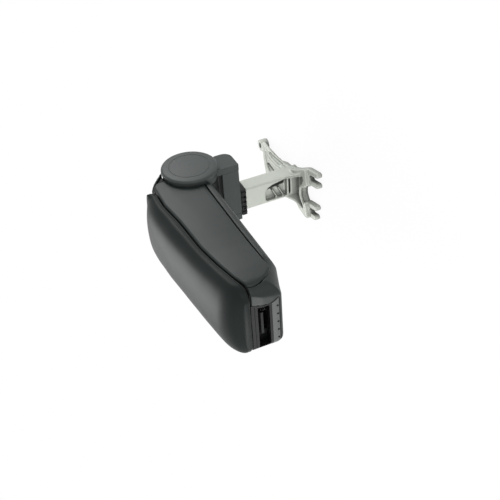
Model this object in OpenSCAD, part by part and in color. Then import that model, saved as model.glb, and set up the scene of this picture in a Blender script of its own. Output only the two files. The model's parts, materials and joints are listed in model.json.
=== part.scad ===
// Car centre armrest on a cast stand.
// X runs forward to the nose, Y to the left, Z up.
// The origin is the axis of the rear bolt hole, on the plane that the bracket is bolted to.

/* [Armrest] */
// Width of the armrest
arm_w = 90; // [80:1:100]
// Distance from the pivot to the nose
arm_reach = 266; // [250:1:300]
// Depth of the underside below the pivot
arm_floor = 19; // [16:0.5:22]
// Radius of the rounded lower edges
arm_edge_r = 14; // [8:1:15]
// Radius of the rounded nose corners, seen from above
nose_r = 20; // [16:1:30]
// Thickness of the leather-covered border and panels
skin_t = 2.5; // [2:0.5:3.5]
// Wall of the tub
tub_wall = 3; // [2.5:0.5:4]
// Width of the drum between the ears
drum_w = 69; // [60:1:70]

/* [Lid] */
// Height of the parting line above the pivot, at the rear
parting_rear = 57; // [54:0.5:60]
// Height of the parting line above the pivot, at the nose
parting_front = 32.5; // [29:0.5:35]
// Height of the lid's crown above the pivot
crown_h = 79; // [76:0.5:84]
// Height of the crown above the lid's shoulders
crown_rise = 20; // [14:0.5:21]
// Half of the gap between lid and body
half_gap = 0.8; // [0.5:0.1:1.2]
// Thickness of the lid's moulded plate
lid_plate_t = 3.5; // [3:0.5:5]

/* [Pivot] */
// Radius of the round pivot caps
cap_r = 38; // [38:0.5:40]
// Thickness of the pivot caps
cap_t = 8; // [6:0.5:9]
// Radius of the pivot bolt
bolt_r = 5; // [4:0.5:6]
// Thickness of the ears
ear_t = 9.5; // [8:0.5:11]
// Upward tilt of the armrest
tilt_max = 90; // [60:5:90]

/* [Stand] */
// Height of the pivot above the mounting plane
pivot_h = 160; // [155:1:175]
// Distance from the rear bolt hole to the post, along X
rear_arm = 105.5; // [95:0.5:115]
// Offset of the armrest's middle from the post, to the left
post_offset = 19; // [14:1:22]
// Depth of the stand block, along X
block_d = 34; // [32:1:36]
// Height of the stand block
block_h = 24.4; // [22:0.2:27]
// Post section, along X
post_d = 25; // [22:1:26]
// Post section, along Y
post_w = 34; // [30:1:36]

/* [Bracket] */
// Radius of the bolt hole and half the width of the fork slots
bolt_hole_r = 4.25; // [3.25:0.25:4.5]
// Radius of the rear boss
boss_r = 8.5; // [8:0.25:10]
// Height of the rear boss
boss_h = 12; // [10:0.5:14]
// Thickness of the fork prongs
prong_t = 8; // [6:0.5:10]
// Width of each prong
prong_w = 7.5; // [6:0.5:8]
// Length of the fork slots
slot_l = 18; // [14:0.5:26]
// Turn of both forks about the vertical
fork_turn = 15; // [0:1:20]
// Wall of the bracket's ribs
rib_t = 4; // [3:0.5:5]

/* [Hidden] */

$fn = 64;
// Gap between fixed neighbours, and running gap between moving ones
seat = 0.05;
run = 0.5;
// Radial clearance of a pin in its bore
pin_play = 0.05;
// Small overlap that joins solids of one piece
eps = 0.02;
// Room for cutters that reach past a face
past = 60;

half_w = arm_w / 2;
// The drum and the ears stay inside the caps, and the block clears the drum
drum_r = cap_r - 2;
block_top = cap_r + 0.6;
half_drum = drum_w / 2;
ear_in = half_drum + 1;
ear_out = ear_in + ear_t;
ear_cut_r = cap_r - 0.4;
block_bottom = block_top + block_h;
post_y = -post_offset;

// Lid hinge
hinge_x = 25;
hinge_z = parting_rear + 4;
hinge_r = 5;
hinge_pin_r = 2;
knuckle_y = 26;
knuckle_w = 10;

// Nose
nose_x = arm_reach;
bezel_left = 23.5;
bezel_back = nose_x - 16;
bezel_low = -2.4;
bezel_high = parting_front;
window_low = 10.3;
window_high = 24.3;
window_left = bezel_left - 2;
window_right = 4 - half_w;
strip_low = -2.2;
strip_high = 7.2;
dot_r = 1;
dot_pitch = 12.2;
dot_count = 5;
dot_z = 0.4;

// Latch
latch_x = nose_x - 12;
latch_z = 22.5;
latch_pin_r = 1.5;
latch_half = 4.5;
lug_w = 3;
// Height of the finger slot below the plate
slot_gap = 5.4;
latch_lugs = [-24, 11.8];

// Storage space
bin_rear = 50;
bin_front = nose_x - 34;
bin_floor = -arm_floor + skin_t + tub_wall;
mat_t = 2;

// Points of an arc about c
function arc(c, r, a0, a1, n) = [for (i = [0:n]) let(a = a0 + (a1 - a0) * i / n) c + r * [cos(a), sin(a)]];
function unit(v) = v / norm(v);
function left_of(v) = [-v[1], v[0]];
function at(p, i) = p[(i + len(p)) % len(p)];
// A closed outline, counter-clockwise, moved inward by d
function inset(p, d) = [for (i = [0:len(p) - 1])
    let(a = left_of(unit(p[i] - at(p, i - 1))), b = left_of(unit(at(p, i + 1) - p[i])))
    p[i] + d * (a + b) / (1 + a * b)];
// Parting line from rear to nose, moved up by d
parting_drop = parting_rear - parting_front;
function parting(d) = [
    [hinge_x + 3, parting_rear + d],
    [0.22 * nose_x, parting_rear + 1 + d],
    [0.38 * nose_x, parting_rear - 0.17 * parting_drop + d],
    [0.6 * nose_x, parting_rear - 0.3 * parting_drop + d],
    [0.745 * nose_x, parting_rear - 0.51 * parting_drop + d],
    [nose_x - 36, parting_rear - 0.73 * parting_drop + d],
    [nose_x - 13, parting_front + d],
    [nose_x + 20, parting_front + d]];
function reversed(p) = [for (i = [len(p) - 1:-1:0]) p[i]];

// Moves a shape from the pivot's middle to its place in the part
module at_pivot() {
    translate([rear_arm, post_offset, pivot_h]) children();
}

// Extrudes an outline drawn in X and Z along Y, from y0 to y1
module along_y(y0, y1) {
    translate([0, y1, 0]) rotate([90, 0, 0]) linear_extrude(y1 - y0) children();
}

// Cylinder along Y
module rod_y(r, y0, y1, fn = 64) {
    translate([0, y1, 0]) rotate([90, 0, 0]) cylinder(r = r, h = y1 - y0, $fn = fn);
}

// Outlines of the armrest
nose_low = -4;
side_outline = concat(
    [[0, -arm_floor], [nose_x - 43, -arm_floor]],
    [[nose_x - 14, -9]],
    arc([nose_x - 6, nose_low + 3], 6, -60, 0, 8),
    [[nose_x - 1, 18], [nose_x - 4, parting_front], [nose_x - 7, crown_h + 5], [0, crown_h + 5]]);
// The armrest widens towards the nose, as x and the widening of a side
nose_swell = 5;
swell_line = [[0.56 * nose_x, 0], [0.66 * nose_x, 0.12 * nose_swell], [0.75 * nose_x, 0.42 * nose_swell],
    [0.84 * nose_x, 0.78 * nose_swell], [nose_x - nose_r, nose_swell], [2 * nose_x, nose_swell]];
wide_w = half_w + nose_swell;
plan_outline = concat(
    [[-past, -half_w]],
    [for (i = [0:3]) [swell_line[i][0], -half_w - swell_line[i][1]]],
    arc([nose_x - nose_r, -wide_w + nose_r], nose_r, -90, -8, 18),
    arc([nose_x - nose_r, wide_w - nose_r], nose_r, 8, 90, 18),
    [for (i = [3:-1:0]) [swell_line[i][0], half_w + swell_line[i][1]]],
    [[-past, half_w]]);
// Slope of the underside near the nose, and its section square to that slope
nose_rise = atan(10 / 29);
rise_r = 1.3 * nose_r;
function rise_outline(top) = concat(
    arc([-wide_w + rise_r, rise_r], rise_r, 180, 270, 14),
    arc([wide_w - rise_r, rise_r], rise_r, 270, 360, 14),
    [[wide_w, top], [-wide_w, top]]);
section_r = arm_edge_r + nose_swell;
function section_outline(top) = concat(
    arc([-wide_w + section_r, -arm_floor + section_r], section_r, 180, 270, 14),
    arc([wide_w - section_r, -arm_floor + section_r], section_r, 270, 360, 14),
    [[wide_w, top], [-wide_w, top]]);

// Body of the armrest as one block, moved inward by d
module arm_block(d) {
    intersection() {
        along_y(-wide_w - 1, wide_w + 1) polygon(inset(side_outline, d));
        translate([0, 0, -past]) linear_extrude(4 * past) polygon(inset(plan_outline, d));
        rotate([90, 0, 90]) linear_extrude(nose_x + past) polygon(inset(section_outline(crown_h + 20), d));
        // Rounding along the rising underside of the nose
        translate([nose_x - 43, 0, -arm_floor - 2]) rotate([0, -nose_rise, 0]) translate([-nose_x, 0, 0]) rotate([90, 0, 90])
            linear_extrude(nose_x + past) polygon(inset(rise_outline(4 * past), d));
    }
}

// Everything above the parting line, moved up by d
module above_parting(d) {
    along_y(-past, past) polygon(concat(
        [[-past, parting_rear + 2 * past], [-past, hinge_z], [hinge_x - 8, hinge_z]],
        parting(d),
        [[nose_x + 20, parting_rear + 2 * past]]));
}

// Room of the ears and the drum, cut from the armrest at both sides
module ear_room() {
    for (s = [-1, 1])
        rod_y(ear_cut_r, min(s * half_drum, s * past), max(s * half_drum, s * past), 96);
}

// Room of the lid's hinge roll
module hinge_room() {
    translate([hinge_x, 0, hinge_z]) rod_y(hinge_r + half_gap, -past, past, 48);
}

// Outline of a padded side panel, drawn in X and Z
inlay_low = -6;
inlay_outline = concat(
    [[ear_cut_r - 2, inlay_low], [nose_x - 31, inlay_low]],
    [[nose_x - 20, 4], [nose_x - 13, 14], [nose_x - 11, 24]],
    [for (p = reversed(parting(1))) if (p[0] < nose_x) p],
    [[14, 49], [5, 42], [0, 30]]);
module inlay_panel(side, grow) {
    difference() {
        along_y(side > 0 ? 0 : -wide_w - 1, side > 0 ? wide_w + 1 : 0) polygon(inset(inlay_outline, -grow));
        translate([0, 0, -past]) linear_extrude(4 * past) polygon(inset(plan_outline, skin_t + grow));
        rod_y(ear_cut_r - grow, -past, past, 96);
        above_parting(-half_gap);
    }
}

// Outline of the rounded tail, moved inward by d
tail_tip = [17, 51];
tail_tip_r = 9;
module tail_outline(d) {
    spread = norm(tail_tip);
    lean = acos((drum_r + 0.5 - tail_tip_r) / spread);
    back = atan2(tail_tip[1], tail_tip[0]) + lean;
    polygon(concat(
        arc([0, 0], drum_r + 0.5 - d, 180, back, 8),
        arc(tail_tip, tail_tip_r - d, back, 85, 6),
        [[40, tail_tip[1] + tail_tip_r - d], [40, 0]]));
}

// Stand

// Two prongs with round ends, the left one longer by 2 * extra
module fork(reach, extra) {
    for (s = [-1, 1]) translate([0, s * (bolt_hole_r + prong_w / 2), 0]) {
        translate([0, -prong_w / 2, 0]) cube([reach + s * extra, prong_w, prong_t]);
        translate([reach + s * extra, 0, 0]) cylinder(r = prong_w / 2, h = prong_t, $fn = 32);
    }
    translate([-4, -bolt_hole_r - prong_w, 0]) cube([10, 2 * (bolt_hole_r + prong_w), prong_t]);
    // Wall at the prongs' roots
    translate([-4, -bolt_hole_r - prong_w, 0]) cube([rib_t, 2 * (bolt_hole_r + prong_w), spider_h]);
}
module fork_slot() {
    translate([bolt_hole_r + 1, 0, -1]) cylinder(r = bolt_hole_r, h = 3 * spider_h);
    translate([bolt_hole_r + 1, -bolt_hole_r, -1]) cube([past, 2 * bolt_hole_r, 3 * spider_h]);
    // Nothing stands above the prongs
    translate([0.5, -bolt_hole_r - prong_w, prong_t]) cube([past, 2 * (bolt_hole_r + prong_w), 3 * spider_h]);
}

// Places of the forks' roots, from the post's middle
fork_a = [46, 30.5];
fork_b = [45, -24.5];
foot_t = 5;
spider_h = 13;
post_top = pivot_h - block_top - 6;
half_d = post_d / 2;
half_post = post_w / 2;
// Round gap between the forks
gap_c = [43, -4];
gap_r = 15;

module fork_place(f) {
    translate([f[0], f[1], 0]) rotate([0, 0, fork_turn]) children();
}

// Outline of the bracket's foot, counter-clockwise, with the round gap between the forks
spider_points = concat(
    [[-34, -7], [-24, -10], [-half_d - 2, -half_post], [-4, -half_post - 4], [10, -half_post - 10], [22, -half_post - 17],
        fork_b + [-4, -13]],
    [fork_b + [3, -10], fork_b + [2, 10]],
    arc(gap_c, gap_r, 250, 100, 14),
    [fork_a + [3, -11], fork_a + [-3, 11], [36, 39], [26, 33], [14, 25.5], [0, 18.5], [-12, 13], [-24, 8.5], [-34, 7]]);
pocket_points = [[-half_d + 2, -half_post + 2], [-2, -half_post], [12, -half_post - 6], [24, -half_post - 13], [35, -half_post - 14],
    [35, -21], [27, -14], [24, -4], [26, 6], [34, 14], [38, 22], [36, 33], [28, 28], [14, 20], [0, 13], [-half_d + 2, 8]];

module spider() {
    linear_extrude(foot_t) polygon(spider_points);
    difference() {
        // Flanges at the foot and the top of the edge wall, and the thinner wall between them
        union() {
            linear_extrude(spider_h) polygon(inset(spider_points, flange_in));
            translate([0, 0, spider_h - 3.5]) linear_extrude(3.5) polygon(spider_points);
        }
        translate([0, 0, foot_t]) linear_extrude(past) polygon(pocket_points);
    }
}
flange_in = 1.8;

// Rear arm: two ridges that rise from the boss, with a groove between them, drawn in X and Z
ridge_high = [[-rear_arm - 2, 12], [-rear_arm + 8, 12], [-84, 13], [-72, 16], [-58, 18], [-37, 17.5], [-15, 14.5], [0, 13]];
ridge_low = [[-rear_arm - 2, 8], [-rear_arm + 8, 8.5], [-82, 9.7], [-63, 10.9], [-42, 8.9], [-23, 6.4], [0, 5]];
module band(line, t) {
    polygon(concat(line, [for (i = [len(line) - 1:-1:0]) line[i] - [0, t]]));
}
module rear_arm() {
    along_y(-6.5, 6.5) band(ridge_high, 3.5);
    along_y(-7.5, 7.5) band(ridge_low, 3.5);
    along_y(-4.5, 4.5) polygon(concat([[0, 2], [-rear_arm + 4, 5]], ridge_high));
    along_y(-7.5, 7.5) polygon([[0, 0], [-34, 0], [-44, 6], [-42, 8.9], [-23, 6.4], [0, 5]]);
}

// Gusset between the rear arm and the post, with its recess near the outer rib
gusset_top = [[-rear_arm + 16, 12], [-80, 18.5], [-64, 24.6], [-42, 32.4], [-31, 34.4], [-half_d - 3, 37], [-half_d + 1, 46]];
module gusset() {
    difference() {
        along_y(-4.5, 4.5) polygon(concat([[-half_d + 1, 4], [-rear_arm + 16, 8]], gusset_top));
        for (s = [-1, 1]) along_y(s * 3 - 2, s * 3 + 2) polygon([[-60, 22.5], [-28, 32.2], [-half_d - 3, 33], [-24, 25]]);
    }
    along_y(-6, 6) band(gusset_top, 3);
}

// Webs that run from the post's front corners down to the forks
module corner_web(y, turn, l) {
    translate([half_d - 2, y, 0]) rotate([0, 0, turn]) along_y(-rib_t / 2, rib_t / 2)
        polygon([[0, 0], [l, 0], [l, spider_h - 1], [l * 0.7, 14.5], [l * 0.4, 18], [0, 29]]);
}

// Window in the post's front, drawn in Y and Z: a shallow part and a deep part along its left edge
window_outline = [[-half_post + 3.7, 25], [half_post - 2, 24.7], [half_post - 6, 47], [half_post - 9, 54], [half_post - 12, 57],
    [half_post - 15, 58], [-half_post + 6, 58], [-half_post + 3.7, 56]];
deep_outline = [[half_post - 13, 26.5], [half_post - 4, 26.5], [half_post - 7.5, 46], [half_post - 12, 52], [half_post - 16, 53]];
module post_window(outline, deep) {
    translate([half_d - deep, 0, 0]) rotate([90, 0, 90]) linear_extrude(past) polygon(outline);
}

module cast_bracket() {
    color([0.75, 0.77, 0.74]) difference() {
        union() {
            cylinder(r = boss_r, h = boss_h);
            translate([rear_arm, 0, 0]) {
                spider();
                rear_arm();
                gusset();
                corner_web(-half_post + 2, -33, 28);
                corner_web(half_post - 2, 30, 31);
                fork_place(fork_a) fork(slot_l + bolt_hole_r, 2);
                fork_place(fork_b) fork(slot_l - 1, 3.5);
                // Post with rounded edges
                linear_extrude(post_top) polygon(concat(
                    arc([half_d - 2.5, half_post - 2.5], 2.5, 0, 90, 4), arc([-half_d + 2.5, half_post - 2.5], 2.5, 90, 180, 4),
                    arc([-half_d + 2.5, -half_post + 2.5], 2.5, 180, 270, 4), arc([half_d - 2.5, -half_post + 2.5], 2.5, 270, 360, 4)));
            }
        }
        translate([0, 0, -1]) cylinder(r = bolt_hole_r, h = boss_h + spider_h);
        translate([rear_arm, 0, 0]) {
            fork_place(fork_a) fork_slot();
            fork_place(fork_b) fork_slot();
            difference() {
                post_window(window_outline, 7);
                // Ribs on the window's floor
                for (z = [36, 46]) translate([half_d - 7 - past, 0, z]) rotate([25, 0, 0]) translate([0, -past, -0.9])
                    cube([past + 5, 2 * past, 1.8]);
            }
            post_window(deep_outline, post_d - 5);
            // Slot across the post's foot
            translate([half_d - 9, -half_post + 5, 19.6]) cube([past, post_w - 6.5, 2.4]);
            // Holes of the post's fixing screws
            for (z = [post_top - 6, post_top - 14])
                translate([-past, 0, z]) rotate([0, 90, 0]) cylinder(r = 2.1, h = past, $fn = 24);
        }
    }
}

// Side view of the stand block, with its round rear edge
block_r = 12;
module block_outline() {
    polygon(concat(
        [[block_d / 2, -block_bottom], [block_d / 2, -block_top], [-block_d / 2 + 3, -block_top], [-block_d / 2, -block_top - 3]],
        arc([-block_d / 2 + block_r, -block_bottom + block_r], block_r, 180, 270, 8)));
}

cover_pin_r = 1.6;
module post_room() {
    translate([-post_d / 2 - seat, post_y - post_w / 2 - seat, -block_bottom - 2])
        cube([post_d + 2 * seat, post_w + 2 * seat, block_h - 4 + seat]);
}

module stand_core() {
    color([0.2, 0.21, 0.21]) at_pivot() difference() {
        union() {
            along_y(-ear_in, ear_in) block_outline();
            // Socket round the post
            translate([-block_d / 2 + 1, post_y - post_w / 2 - 4, -block_bottom - 1]) cube([block_d - 2, post_w + 8, 1 + eps]);
        }
        post_room();
        for (z = [post_top - 6, post_top - 14])
            translate([-block_d / 2 - 1, post_y, z - pivot_h]) rotate([0, 90, 0]) {
                cylinder(r = 2.25, h = 20, $fn = 24);
                cylinder(r = 4.3, h = 3.5, $fn = 32);
            }
        for (s = [-1, 1]) for (x = [-9, 9])
            translate([x, s * ear_in, -block_top - 3]) rod_y(cover_pin_r + seat, -6, 6, 24);
    }
}

// Outline of an ear with the side of the block
module cover_outline() {
    circle(r = drum_r, $fn = 96);
    block_outline();
    translate([-block_d / 2 + 2, -block_top - 1]) square([block_d - 2, 20]);
}

// Slot that the stop pin runs in
stop_r = 24;
stop_pin_r = 3;
stop_rest = 200;
module stop_slot(y0, y1) {
    along_y(y0, y1) {
        for (a = [stop_rest, stop_rest + tilt_max])
            rotate(a) translate([stop_r, 0]) circle(r = stop_pin_r + 0.3, $fn = 32);
        polygon(concat(
            arc([0, 0], stop_r + stop_pin_r + 0.3, stop_rest, stop_rest + tilt_max, 24),
            arc([0, 0], stop_r - stop_pin_r - 0.3, stop_rest + tilt_max, stop_rest, 24)));
    }
}

module stand_cover(side) {
    color([0.2, 0.21, 0.21]) at_pivot() mirror([0, side > 0 ? 0 : 1, 0]) {
        difference() {
            along_y(ear_in + seat, ear_out) cover_outline();
            rod_y(bolt_r + pin_play, 0, past);
            // Seat of the cap's plug, and room for the bolt's head or nut
            rod_y(14, ear_out - 4.5, past);
            if (side > 0) stop_slot(0, ear_in + 5);
            // Room of the post and the socket's lip
            if (side < 0) mirror([0, 1, 0]) {
                post_room();
                translate([-block_d, -past, -past - block_bottom + eps]) cube([2 * block_d, 2 * past, past + seat]);
            }
        }
        for (x = [-9, 9])
            translate([x, 0, -block_top - 3]) rod_y(cover_pin_r, ear_in - 5, ear_in + 1, 24);
    }
}

module post_collar() {
    top = pivot_h - block_bottom - 1 - seat;
    h = 7;
    color([0.08, 0.08, 0.09]) translate([rear_arm, 0, top - h]) difference() {
        union() {
            translate([-post_d / 2 - 4, -post_w / 2 - 4, 0]) cube([post_d + 8, post_w + 8, h]);
            for (s = [-1, 1]) for (i = [-2:2])
                translate([s * (post_d / 2 + 4) - 1, i * 8 - 1, 0]) cube([2, 2, h]);
        }
        translate([-post_d / 2 - seat, -post_w / 2 - seat, -1]) cube([post_d + 2 * seat, post_w + 2 * seat, h + 2]);
        for (s = [-1, 1]) for (i = [-1:1])
            translate([s * (post_d / 2 + 4) - 1.5, i * 8 + (i < 0 ? -1 : 1) - 2.4, 1.5]) cube([3, 4, 3]);
    }
}

module post_screws() {
    color([0.6, 0.6, 0.6]) for (z = [post_top - 6, post_top - 14])
        translate([rear_arm - block_d / 2, 0, z]) rotate([0, 90, 0]) difference() {
            union() {
                translate([0, 0, 2.5 - 3]) cylinder(r = 4, h = 3 - seat, $fn = 32);
                cylinder(r = 2, h = 14, $fn = 24);
            }
            translate([0, 0, -1]) cylinder(r = 1.6, h = 1.8, $fn = 6);
        }
}

// Pivot

head_y = ear_out - 4.5;
washer_t = 1.5;
spring_t = 2;
nut_t = 4.2;
module pivot_bolt() {
    color([0.6, 0.6, 0.62]) at_pivot() {
        rod_y(bolt_r, -head_y - washer_t - spring_t - nut_t, head_y + washer_t + 1);
        rod_y(8.5, head_y + washer_t + seat, head_y + washer_t + 5.5, 6);
    }
}

module pivot_washers() {
    color([0.65, 0.65, 0.66]) at_pivot() for (s = [-1, 1]) difference() {
        rod_y(10.5, min(s * (head_y + seat), s * (head_y + washer_t)), max(s * (head_y + seat), s * (head_y + washer_t)));
        rod_y(bolt_r + 0.3, -past, past);
    }
}

module pivot_spring_washer() {
    y = head_y + washer_t;
    color([0.5, 0.5, 0.5]) at_pivot() difference() {
        rod_y(8.5, -y - spring_t, -y - seat);
        rod_y(bolt_r + 0.2, -past, past);
        translate([0, -y - past / 2, -0.8]) cube([past, past, 1.6]);
    }
}

module pivot_nut() {
    y = head_y + washer_t + spring_t;
    color([0.6, 0.6, 0.62]) at_pivot() difference() {
        rod_y(8.5, -y - nut_t, -y - seat, 6);
        rod_y(bolt_r + pin_play, -past, past);
    }
}

module pivot_cap(side) {
    y = ear_out + 0.3;
    color([0.39, 0.41, 0.39]) at_pivot() mirror([0, side > 0 ? 0 : 1, 0])
        translate([0, y, 0]) rotate([-90, 0, 0]) rotate_extrude($fn = 96) {
            difference() {
                polygon(concat(
                    [[0, 3.2], [cap_r - 3, 3.2], [cap_r - 3, 1]],
                    [[cap_r - 0.6, 1]],
                    arc([cap_r - 3.2, cap_t - 3.8], 3.2, 0, 80, 5),
                    [for (i = [5:-1:0]) [i * cap_r / 6, cap_t - 0.6 + 0.9 * (1 - pow(i / 6, 2))]]));
                translate([cap_r * 0.71, cap_t + 0.1]) circle(r = 0.6, $fn = 16);
            }
            // Plug that snaps into the ear
            translate([11.5, -2.2]) square([2.3, 5.6]);
        }
}

// Armrest

module tub_block() {
    difference() {
        union() {
            intersection() {
                arm_block(skin_t + seat);
                translate([hinge_x, -past, -past]) cube([6 * past, 2 * past, 4 * past]);
            }
            along_y(-half_w + skin_t + 0.3, half_w - skin_t - 0.3) tail_outline(skin_t + 0.1);
        }
        above_parting(-half_gap);
        ear_room();
        hinge_room();
        // The underside stops at the drum
        along_y(-past, past) polygon([[-past, -past], [-past, 0], [0, 0], [ear_cut_r * cos(30), -ear_cut_r * sin(30)], [ear_cut_r * cos(30), -past]]);
    }
}

// Storage space with rounded lower edges, moved inward by d and up to the height h
module bin_space(d, h) {
    intersection() {
        translate([bin_rear + d, 0, 0]) rotate([90, 0, 90]) linear_extrude(bin_front - bin_rear - 2 * d) intersection() {
            polygon(inset(section_outline(2 * past), skin_t + tub_wall + d));
            translate([-past, bin_floor - 1]) square([2 * past, h + 1]);
        }
        arm_block(skin_t + tub_wall + d);
    }
}

// Places of the bumpers on the rim, square to it
bumper_x = bin_front + 9;
bumper_r = 3.5;
bumper_deep = 2;
function rim_turn(x) = -atan((lookup(x + 2, parting(0)) - lookup(x - 2, parting(0))) / 4);
module bumper_places() {
    for (s = [-1, 1]) translate([bumper_x, s * 30, lookup(bumper_x, parting(-half_gap))]) rotate([0, rim_turn(bumper_x), 0])
        children();
}

module armrest_tub() {
    color([0.12, 0.12, 0.13]) at_pivot() difference() {
        union() {
            tub_block();
            rod_y(drum_r, -half_drum, half_drum, 96);
            // Knuckles of the lid's hinge
            for (s = [-1, 1]) translate([0, s * knuckle_y, 0]) {
                translate([hinge_x, 0, hinge_z]) rod_y(hinge_r, -knuckle_w / 2, knuckle_w / 2, 48);
                translate([hinge_x - 4, -knuckle_w / 2, hinge_z - 14]) cube([8, knuckle_w, 12]);
            }
        }
        // Storage space
        bin_space(0, 2 * past);
        // Space of the latch
        translate([bin_front + tub_wall, -27, spring_low]) cube([past, 45, past]);
        // Seats of the bumpers
        bumper_places() translate([0, 0, -bumper_deep]) cylinder(r = bumper_r + seat, h = past, $fn = 32);
        // Seat of the bezel
        bezel_zone(seat);
        // Bores
        rod_y(bolt_r + 3 + seat, -past, past);
        translate([hinge_x, 0, hinge_z]) rod_y(hinge_pin_r + pin_play, -past, past, 32);
        translate([stop_r * cos(stop_rest), 0, stop_r * sin(stop_rest)])
            rod_y(stop_pin_r + 0.02, half_drum - 8, past, 32);
        // Screw holes of the bezel
        bezel_screw_places(bezel_back - 12) cylinder(r = bezel_screw_r + seat, h = 20, $fn = 24);
    }
}
bezel_screw_z = 3;
bezel_screw_r = 1.5;
// Places of the bezel's screws, at x and pointing forward
module bezel_screw_places(x) {
    for (y = [bezel_left - 9, 12 - half_w]) translate([x, y, bezel_screw_z]) rotate([0, 90, 0]) children();
}

module drum_bushes() {
    color([0.85, 0.82, 0.7]) at_pivot() for (s = [-1, 1]) difference() {
        rod_y(bolt_r + 3, min(s * half_drum, s * (half_drum - 12)), max(s * half_drum, s * (half_drum - 12)));
        rod_y(bolt_r + pin_play, -past, past);
    }
}

module side_washers() {
    color([0.85, 0.85, 0.8]) at_pivot() for (s = [-1, 1]) difference() {
        rod_y(16, min(s * (half_drum + 0.1), s * (ear_in - 0.1)), max(s * (half_drum + 0.1), s * (ear_in - 0.1)));
        rod_y(bolt_r + 0.3, -past, past);
    }
}

module tilt_stop_pin() {
    color([0.6, 0.6, 0.62]) at_pivot() translate([stop_r * cos(stop_rest), 0, stop_r * sin(stop_rest)])
        rod_y(stop_pin_r, half_drum - 7.8, ear_in + 4.5, 32);
}

// Zone of the nose inlay: its left edge is the curved lip of the leather, seen from the front
lip_outline = [[-past, bezel_low], [bezel_left + 9, bezel_low], [bezel_left + 6, 0], [bezel_left + 3, 3.5], [bezel_left + 1, 7.5],
    [bezel_left, 15.3], [bezel_left + 0.7, 23], [bezel_left + 3, bezel_high + 8], [-past, bezel_high + 8]];
module bezel_zone(grow) {
    translate([bezel_back - grow, 0, 0]) rotate([90, 0, 90]) linear_extrude(past) polygon(inset(lip_outline, -grow));
}

module leather_border() {
    color([0.3, 0.31, 0.31]) at_pivot() difference() {
        arm_block(0);
        arm_block(skin_t);
        above_parting(-half_gap);
        bezel_zone(seat);
        inlay_panel(1, 0.3);
        inlay_panel(-1, 0.3);
        translate([-past, -past, -past]) cube([past + ear_cut_r * cos(30), 2 * past, 3 * past]);
        rod_y(ear_cut_r, -past, past, 96);
    }
}

module side_inlay(side) {
    color([0.33, 0.35, 0.34]) at_pivot() intersection() {
        inlay_panel(side, 0);
        difference() {
            arm_block(0);
            bezel_zone(seat);
        }
    }
}

module tail_cover() {
    color([0.33, 0.34, 0.34]) at_pivot() difference() {
        intersection() {
            along_y(-half_w, half_w) tail_outline(0);
            // Rounded upper edges, seen from behind
            rotate([90, 0, 90]) translate([0, 0, -past]) linear_extrude(2 * past) polygon(concat(
                [[-half_w, -past], [half_w, -past]],
                arc([half_w - 10, 49], 10, 0, 90, 6),
                arc([-half_w + 10, 49], 10, 90, 180, 6)));
            translate([0, 0, -past]) linear_extrude(3 * past) polygon(concat(
                arc([-drum_r + 14, -half_w + 14], 14.5, 180, 270, 6),
                [[past, -half_w], [past, half_w]],
                arc([-drum_r + 14, half_w - 14], 14.5, 90, 180, 6)));
        }
        along_y(-past, past) tail_outline(skin_t);
        ear_room();
        hinge_room();
        inlay_panel(1, 0.3);
        inlay_panel(-1, 0.3);
        above_parting(-half_gap);
        rod_y(drum_r + 0.05, -past, past, 96);
        translate([-past, -past, -past]) cube([2 * past, 2 * past, past]);
        translate([hinge_x, -past, 0]) cube([past, 2 * past, past]);
    }
}

module nose_bezel() {
    color([0.16, 0.17, 0.17]) at_pivot() {
        difference() {
            intersection() {
                arm_block(0.6);
                bezel_zone(0);
            }
            above_parting(-half_gap);
            // Room behind the face
            difference() {
                intersection() {
                    arm_block(0.6 + 5);
                    translate([bezel_back - 1, window_right, bezel_low + 2.4])
                        cube([past, window_left - window_right, past]);
                }
                bezel_screw_places(bezel_back) cylinder(r = 4, h = past, $fn = 32);
            }
            // Window of the finger slot
            translate([nose_x - past, window_right, window_low])
                cube([2 * past, window_left - window_right, window_high - window_low]);
            // Groove of the rim
            difference() {
                translate([bezel_back, -past, 27.4]) cube([past, past + bezel_left - 1, 1.1]);
                arm_block(0.6 + 0.8);
            }
            // Seat of the dotted strip
            difference() {
                intersection() {
                    translate([bezel_back + 3 - seat, -past, strip_low - seat])
                        cube([past, 2 * past, strip_high - strip_low + 2 * seat]);
                    bezel_zone(-1.2);
                }
                arm_block(0.6 + 1.5);
            }
            bezel_screw_places(bezel_back - 1) cylinder(r = bezel_screw_r + seat, h = past, $fn = 24);
            bezel_screw_places(bezel_back + 7) cylinder(r = bezel_screw_r + 1.4 + seat, h = past, $fn = 24);
        }
        // Lugs of the latch pin
        difference() {
            for (y = latch_lugs) {
                translate([latch_x, 0, latch_z]) rod_y(3, y, y + lug_w, 32);
                translate([latch_x - 3, y, latch_z + 1]) cube([7.5, lug_w, 6.5]);
            }
            translate([latch_x, 0, latch_z]) rod_y(latch_pin_r, -past, past, 32);
        }
    }
}

module bezel_screws() {
    color([0.5, 0.5, 0.5]) at_pivot() {
        bezel_screw_places(bezel_back - 11) cylinder(r = bezel_screw_r, h = 18.5, $fn = 24);
        bezel_screw_places(bezel_back + 7 + seat) cylinder(r = bezel_screw_r + 1.4, h = 1.5, $fn = 24);
    }
}

module dotted_strip() {
    color([0.35, 0.36, 0.36]) at_pivot() difference() {
        intersection() {
            arm_block(0.4);
            translate([bezel_back + 3, -past, strip_low]) cube([past, 2 * past, strip_high - strip_low]);
            bezel_zone(-1.2 - seat);
        }
        arm_block(0.6 + 1.5 - seat);
        for (i = [0:dot_count - 1])
            translate([nose_x - 20, bezel_left - 6 - dot_pitch * i, dot_z]) rotate([0, 90, 0])
                cylinder(r = dot_r, h = past, $fn = 20);
    }
}

module bin_mat() {
    color([0.1, 0.1, 0.1]) at_pivot() intersection() {
        bin_space(0.5, mat_t + 2);
        translate([bin_rear, -past, bin_floor + seat]) cube([bin_front - bin_rear, 2 * past, mat_t]);
    }
}

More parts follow.
